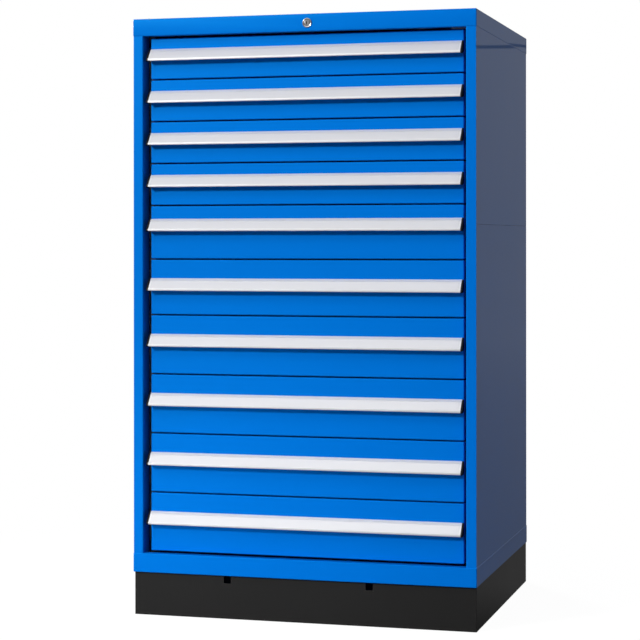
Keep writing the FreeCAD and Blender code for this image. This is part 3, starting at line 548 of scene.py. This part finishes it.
def copyPiece(source, name, shift):
    makeActive(source)
    bpy.ops.object.duplicate(linked=False)
    twin = bpy.context.object
    twin.name = name
    bpy.ops.transform.translate(value=shift)
    settle(twin)
    return twin


def dress(piece, finish, body, slot, *stoodFor):
    piece.data.materials.clear()
    piece.data.materials.append(finish)
    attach(piece, body)
    if stoodFor:
        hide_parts(*stoodFor)


# top cover and bottom pan: folded sheets with a return behind the drawers' opening

panSetup = {"sheet": 0.0012, "fold": 0.0024, "foldSteps": 5, "rim": 0.0004, "half": 0.429,
            "return": (-0.3798, -0.3598), "lockHole": 0.0095, "holeDepth": 0.01, "holeSteps": 64}
lockMiddle = (0.0175, 1.5365)  # across and up


def modelPan(name, node, openEnd):
    # openEnd is -1 where the pan is open below, 1 where it is open above
    pan = panSetup
    low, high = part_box(node)
    closed, rim = (high[2], low[2]) if openEnd < 0 else (low[2], high[2])
    piece = addBlock(name, (low[0], high[0]), (low[1], high[1]), (low[2], high[2]))
    pickFaces(piece, lambda middle, normal: normal.z * openEnd > squarely)
    bpy.ops.mesh.inset(thickness=pan["sheet"])
    extrude((0, 0, closed + openEnd * pan["sheet"] - rim))
    closeUp(piece)
    onSide = lambda spot: near(spot.x, low[0], high[0])
    onEnd = lambda spot: near(spot.y, low[1], high[1])
    onClosed = lambda spot: near(spot.z, closed)
    pickEdges(piece, lambda a, b: all(onSide(spot) or onEnd(spot) for spot in (a, b)) and (
        onClosed(a) and onClosed(b) or onSide(a) and onSide(b) and onEnd(a) and onEnd(b)))
    foldPicked(pan)
    roundOff(piece, pan["rim"], 2)
    strip = addBlock(name + "Return", (-pan["half"], pan["half"]), pan["return"],
                     sorted((rim, rim - openEnd * pan["sheet"])))
    roundOff(strip, pan["rim"], 2)
    return unite(name, piece, strip)


bottomPan = modelPan("bottomPan", "bottom_pan", 1)
dress(bottomPan, cabinetBlue, "cabinet", "blue_paint", "bottom_pan")
topCover = modelPan("topCover", "top_cover", -1)
clearSelection()
bpy.ops.mesh.primitive_cylinder_add(
    vertices=panSetup["holeSteps"], radius=panSetup["lockHole"], depth=panSetup["holeDepth"],
    rotation=(math.pi / 2, 0, 0), location=(lockMiddle[0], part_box("top_cover")[0][1], lockMiddle[1]))
cutter = bpy.context.object
settle(cutter)
cutAway(topCover, cutter)
dress(topCover, cabinetBlue, "cabinet", "blue_paint", "top_cover")
print("top cover and bottom pan made")

# front posts: folded sections with a deep return beside the drawers

postSetup = {
    # millimetres out from the opening's edge and back from the front
    "section": [(0, 0), (26.3, 0), (26.3, 1.2), (25.1, 1.2), (25.1, 34.8), (23.9, 34.8), (23.9, 1.2),
                (1.2, 1.2), (1.2, 44.8), (10.5, 44.8), (10.5, 46), (0, 46)],
    "fold": 0.0032, "foldSteps": 7, "edge": 0.0003,
}
for node, name, side in (("left_post", "leftPost", -1), ("right_post", "rightPost", 1)):
    low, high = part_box(node)
    inner = high[0] if side < 0 else low[0]
    section = [(inner + side * out / 1000, low[1] + back / 1000) for out, back in postSetup["section"]]
    post = growBar(name, section, "z", low[2], high[2])
    pickEdges(post, lambda a, b: all(near(spot.x, inner) and near(spot.y, low[1]) for spot in (a, b)))
    foldPicked(postSetup)
    roundOff(post, postSetup["edge"], 2)
    dress(post, cabinetBlue, "cabinet", "blue_paint", node)
print("posts made")

# drawer fronts: folded pans with a back plate

frontSetup = {"sheet": 0.0012, "fold": 0.0024, "foldSteps": 5, "face": -0.360, "depth": 0.025,
              "across": (-0.4145, 0.4205), "backFoot": 0.006, "backMargin": 0.0013, "backSink": 0.0001}


def modelFront(name, up):
    front = frontSetup
    across, rear = front["across"], front["face"] + front["depth"]
    pan = addBlock(name, across, (front["face"], rear), up)
    pickFaces(pan, lambda middle, normal: normal.y > squarely)
    bpy.ops.mesh.inset(thickness=front["sheet"])
    extrude((0, front["sheet"] - front["depth"], 0))
    closeUp(pan)
    outer = lambda spot: near(spot.x, *across)
    upper = lambda spot: near(spot.z, *up)
    fore = lambda spot: near(spot.y, front["face"])
    pickEdges(pan, lambda a, b: outer(a) and outer(b) and upper(a) and upper(b) and (fore(a) or fore(b))
              or fore(a) and fore(b))
    foldPicked(front)
    back = addBlock(name + "Back", (across[0] + front["backMargin"], across[1] - front["backMargin"]),
                    (rear - front["sheet"], rear - front["backSink"]),
                    (up[0] + front["backFoot"], up[1] - front["backMargin"]))
    whole = unite(name, pan, back)
    smooth(whole)
    return whole


# trays: folded sheet with a hemmed rim

traySetup = {"half": 0.3995, "front": -0.3359, "rear": 0.340, "foot": 0.006, "rimDrop": 0.012,
             "sheet": 0.0012, "hem": 0.008, "edge": 0.0016}


def modelTray(name, up):
    tray = traySetup
    low, high = up[0] + tray["foot"], up[1] - tray["rimDrop"]
    piece = addBlock(name, (-tray["half"], tray["half"]), (tray["front"], tray["rear"]), (low, high))
    pickFaces(piece, lambda middle, normal: normal.z > squarely)
    bpy.ops.mesh.inset(thickness=2 * tray["sheet"])
    extrude((0, 0, -tray["hem"]))
    bpy.ops.mesh.inset(thickness=tray["sheet"], use_outset=True)
    extrude((0, 0, low + tray["sheet"] - high + tray["hem"]))
    closeUp(piece)
    roundOff(piece, tray["edge"], 3)
    return piece


# drawer members of the runners, and the catch for the lock

runnerSetup = {"web": 0.3995, "reach": 0.0154, "wall": 0.0015, "height": 0.0378, "middleRise": 0.030,
               "front": -0.315, "rear": 0.340, "edge": 0.0005}
catchSetup = {"across": (0.3993, 0.427), "along": (-0.324, -0.318), "rise": 0.060, "height": 0.008,
              "edge": 0.0008}


def modelMembers(name, foot):
    runner = runnerSetup
    low = foot + runner["middleRise"] - runner["height"] / 2
    high = low + runner["height"]
    wall, web, tip = runner["wall"], runner["web"], runner["web"] + runner["reach"]
    sides = []
    for side in (-1, 1):
        section = [(side * across, level) for across, level in (
            (web, low), (tip, low), (tip, low + wall), (web + wall, low + wall),
            (web + wall, high - wall), (tip, high - wall), (tip, high), (web, high))]
        sides.append(growBar(name, section, "y", runner["front"], runner["rear"]))
    whole = unite(name, *sides)
    roundOff(whole, runner["edge"], 2)
    return whole


def modelCatch(name, foot):
    catch = catchSetup
    low = foot + catch["rise"]
    piece = addBlock(name, catch["across"], catch["along"], (low, low + catch["height"]))
    roundOff(piece, catch["edge"], 3)
    return piece


# one model of each drawer height, and copies of it for the others
drawerTags = [name[-2:] for name in sorted(nodes) if name.startswith("drawer_")]
models = {}
for tag in drawerTags:
    low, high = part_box("drawer_" + tag)
    up = (low[2], high[2])
    height = round(up[1] - up[0], 4)
    if height not in models:
        made = [modelFront("drawerFront_" + tag, up), modelTray("drawerTray_" + tag, up),
                modelMembers("drawerMembers_" + tag, up[0]), modelCatch("lockCatch_" + tag, up[0])]
        models[height] = (up[0], made)
    else:
        foot, model = models[height]
        shift = (0, 0, up[0] - foot)
        made = [copyPiece(piece, piece.name[:-2] + tag, shift) for piece in model]
    for piece, finish, slot in zip(made, (cabinetBlue, cabinetBlue, zincSteel, zincSteel),
                                   ("blue_paint", "blue_paint", "zinc_steel", "zinc_steel")):
        dress(piece, finish, f"drawer_{tag}_unit", slot, "drawer_" + tag)
print("drawers made:", len(drawerTags), "from", len(models), "models")

# handles: drawn rail, label strip and end caps

handleSetup = {
    # sections: millimetres out of the drawer's front and down from the handle's top
    "rail": [(0, 0), (1, 0), (8.5, 6.2), (7.1, 6.2), (22.85, 26), (24.25, 26), (25, 27), (25, 31),
             (23.5, 32.5), (22.4, 32.5), (22.4, 28.1), (20.65, 27.1), (4.9, 7.3), (2.2, 3.3),
             (2.2, 27), (0, 27)],
    "label": [(7.0, 6.3), (8.2, 6.3), (23.9, 25.9), (22.7, 25.9)],
    "cap": [(0, 0), (1.7, 0), (9.2, 6.2), (24.95, 26), (25.7, 27), (25.7, 31.7), (24.2, 33.2),
            (12.5, 33.2), (0, 27)],
    "railEdge": 0.0005, "labelEdge": 0.0003, "capEdge": 0.0010, "labelInset": 0.005,
}


def modelHandle(tag, low, high):
    setup = handleSetup
    section = lambda part: [(high[1] - out / 1000, high[2] - down / 1000) for out, down in setup[part]]
    rail = growBar("handleRail_" + tag, section("rail"), "x", low[0], high[0])
    roundOff(rail, setup["railEdge"], 3)
    label = growBar("labelStrip_" + tag, section("label"), "x",
                    low[0] + setup["labelInset"], high[0] - setup["labelInset"])
    roundOff(label, setup["labelEdge"], 2)
    capLow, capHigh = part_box("handle_caps_" + tag)
    ends = [growBar("cap", section("cap"), "x", *reach)
            for reach in ((capLow[0], low[0]), (high[0], capHigh[0]))]
    caps = unite("handleCaps_" + tag, *ends)
    roundOff(caps, setup["capEdge"], 4)
    return [rail, label, caps]


firstHandle = []
for tag in drawerTags:
    low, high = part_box("handle_" + tag)
    if not firstHandle:
        made = firstHandle = modelHandle(tag, low, high)
        firstTop = high[2]
    else:
        shift = (0, 0, high[2] - firstTop)
        made = [copyPiece(piece, piece.name[:-2] + tag, shift) for piece in firstHandle]
    body = f"drawer_{tag}_unit"
    dress(made[0], handleAluminium, body, "aluminium", "handle_" + tag)
    dress(made[1], labelPlastic, body, "aluminium", "handle_" + tag)
    dress(made[2], capPlastic, body, "black_plastic", "handle_caps_" + tag)
print("handles made")

# key lock: bezel with its barrel, and the plug with its keyway

lockSetup = {
    # outlines: radius and depth in millimetres
    "housing": [(7.05, -382.6), (9.1, -382.6), (9.9, -383.2), (10.7, -383.5), (11.5, -383.4),
                (12.2, -382.8), (12.5, -382.0), (12.5, -381.0), (9.35, -381.0), (9.35, -361.0),
                (7.05, -361.0)],
    "plug": [(0, -384.0), (6.5, -384.0), (7.0, -383.5), (7.0, -358.0), (0, -358.0)],
    "keyway": (0.0012, 0.0040), "keywayAlong": (-0.385, -0.375), "plugFace": -0.384, "plugEdge": 0.0002,
    "housingSteps": 64, "plugSteps": 48,
}


def inMetres(points):
    return [(radius / 1000, depth / 1000) for radius, depth in points]


housing = turnOutline("lockHousing", inMetres(lockSetup["housing"]), lockMiddle,
                      lockSetup["housingSteps"])
smooth(housing)
dress(housing, lockChrome, "cabinet", "chrome", "lock_housing")
plug = turnOutline("lockPlug", inMetres(lockSetup["plug"]), lockMiddle, lockSetup["plugSteps"])
across, up = ((middle - half, middle + half) for middle, half in zip(lockMiddle, lockSetup["keyway"]))
cutAway(plug, addBlock("keyway", across, lockSetup["keywayAlong"], up))
roundOff(plug, lockSetup["plugEdge"], 2)
dress(plug, lockChrome, "lock_core", "chrome", "lock_plug")
# painted shade: the keyway's walls take the black cap plastic, so the keyhole looks dark
plug.data.materials.append(capPlastic)
plug.active_material_index = 1
pickFaces(plug, lambda spot, normal: across[0] - tolerance < spot.x < across[1] + tolerance
          and up[0] - tolerance < spot.z < up[1] + tolerance and spot.y > lockSetup["plugFace"] + tolerance)
bpy.ops.object.material_slot_assign()
bpy.ops.object.mode_set(mode="OBJECT")
print("lock made")

# floor: white to the camera, with a faint shadow near the plinth and dark under it

floorSetup = {"size": 60, "color": (0.36, 0.36, 0.36, 1), "drift": 0.01, "spread": 0.6,
              "shadowShare": 0.16, "shadowSpan": (0.5, 1.6), "litLevel": 0.17,
              "mirrored": (0.125, 0.195), "mirroredSpan": (1.0, 14.0),
              "mirroredFront": 0.02, "frontSpan": (-0.5, 0.3), "underHalves": {"X": 0.452, "Y": 0.37}}
clearSelection()
bpy.ops.mesh.primitive_plane_add(size=floorSetup["size"], location=(0, 0, 0))
floor = bpy.context.object
floor.name = "studioFloor"
floorMaterial, tree, shader, coords = startMaterial("studioFloor", **{
    "Roughness": 0.9, "Specular IOR Level": 0.0})
drift(tree, shader, coords, floorSetup)
paths = addNode(tree, "ShaderNodeLightPath")
apart = addNode(tree, "ShaderNodeSeparateXYZ")
join(tree, coords, apart.inputs[0])
distance = addNode(tree, "ShaderNodeVectorMath", operation="LENGTH")
join(tree, coords, distance.inputs[0])


def glow(strength):
    node = addNode(tree, "ShaderNodeEmission", Color=(1, 1, 1, 1))
    join(tree, strength, node.inputs["Strength"])
    return node.outputs[0]


def mixedShaders(share, first, second):
    # share 0 gives the first shader, share 1 the second
    node = addNode(tree, "ShaderNodeMixShader")
    for position, socket in enumerate((share, first, second)):
        join(tree, socket, node.inputs[position])
    return node.outputs[0]


# 1 under the plinth, 0 elsewhere
underneath = worked(tree, "MULTIPLY", *(
    worked(tree, "LESS_THAN", worked(tree, "ABSOLUTE", apart.outputs[axis]), half)
    for axis, half in floorSetup["underHalves"].items()))
shadow = mapped(tree, distance.outputs["Value"], *floorSetup["shadowSpan"], floorSetup["shadowShare"], 0.0,
                "SMOOTHSTEP")
whiteShare = worked(tree, "SUBTRACT", 1.0, shadow)
# the lit floor adds its own share, so the emission makes up the rest of white
missing = worked(tree, "SUBTRACT", 1.0, worked(tree, "MULTIPLY", shadow, floorSetup["litLevel"]))
white = glow(worked(tree, "DIVIDE", missing, whiteShare))
# what shiny faces show of the floor: dim in front, paler behind
behind = mapped(tree, distance.outputs["Value"], *floorSetup["mirroredSpan"], *floorSetup["mirrored"])
toRear = mapped(tree, apart.outputs["Y"], *floorSetup["frontSpan"], 0.0, 1.0)
dim = glow(mixed(tree, toRear, floorSetup["mirroredFront"], behind))
mirrored = mixedShaders(paths.outputs["Is Glossy Ray"], shader.outputs[0], dim)
seenShare = worked(tree, "MULTIPLY", worked(tree, "MULTIPLY", paths.outputs["Is Camera Ray"], whiteShare),
                   worked(tree, "SUBTRACT", 1.0, underneath))
shown = mixedShaders(seenShare, mirrored, white)
join(tree, shown, tree.nodes["Material Output"].inputs["Surface"])
floor.data.materials.append(floorMaterial)
print("floor laid")
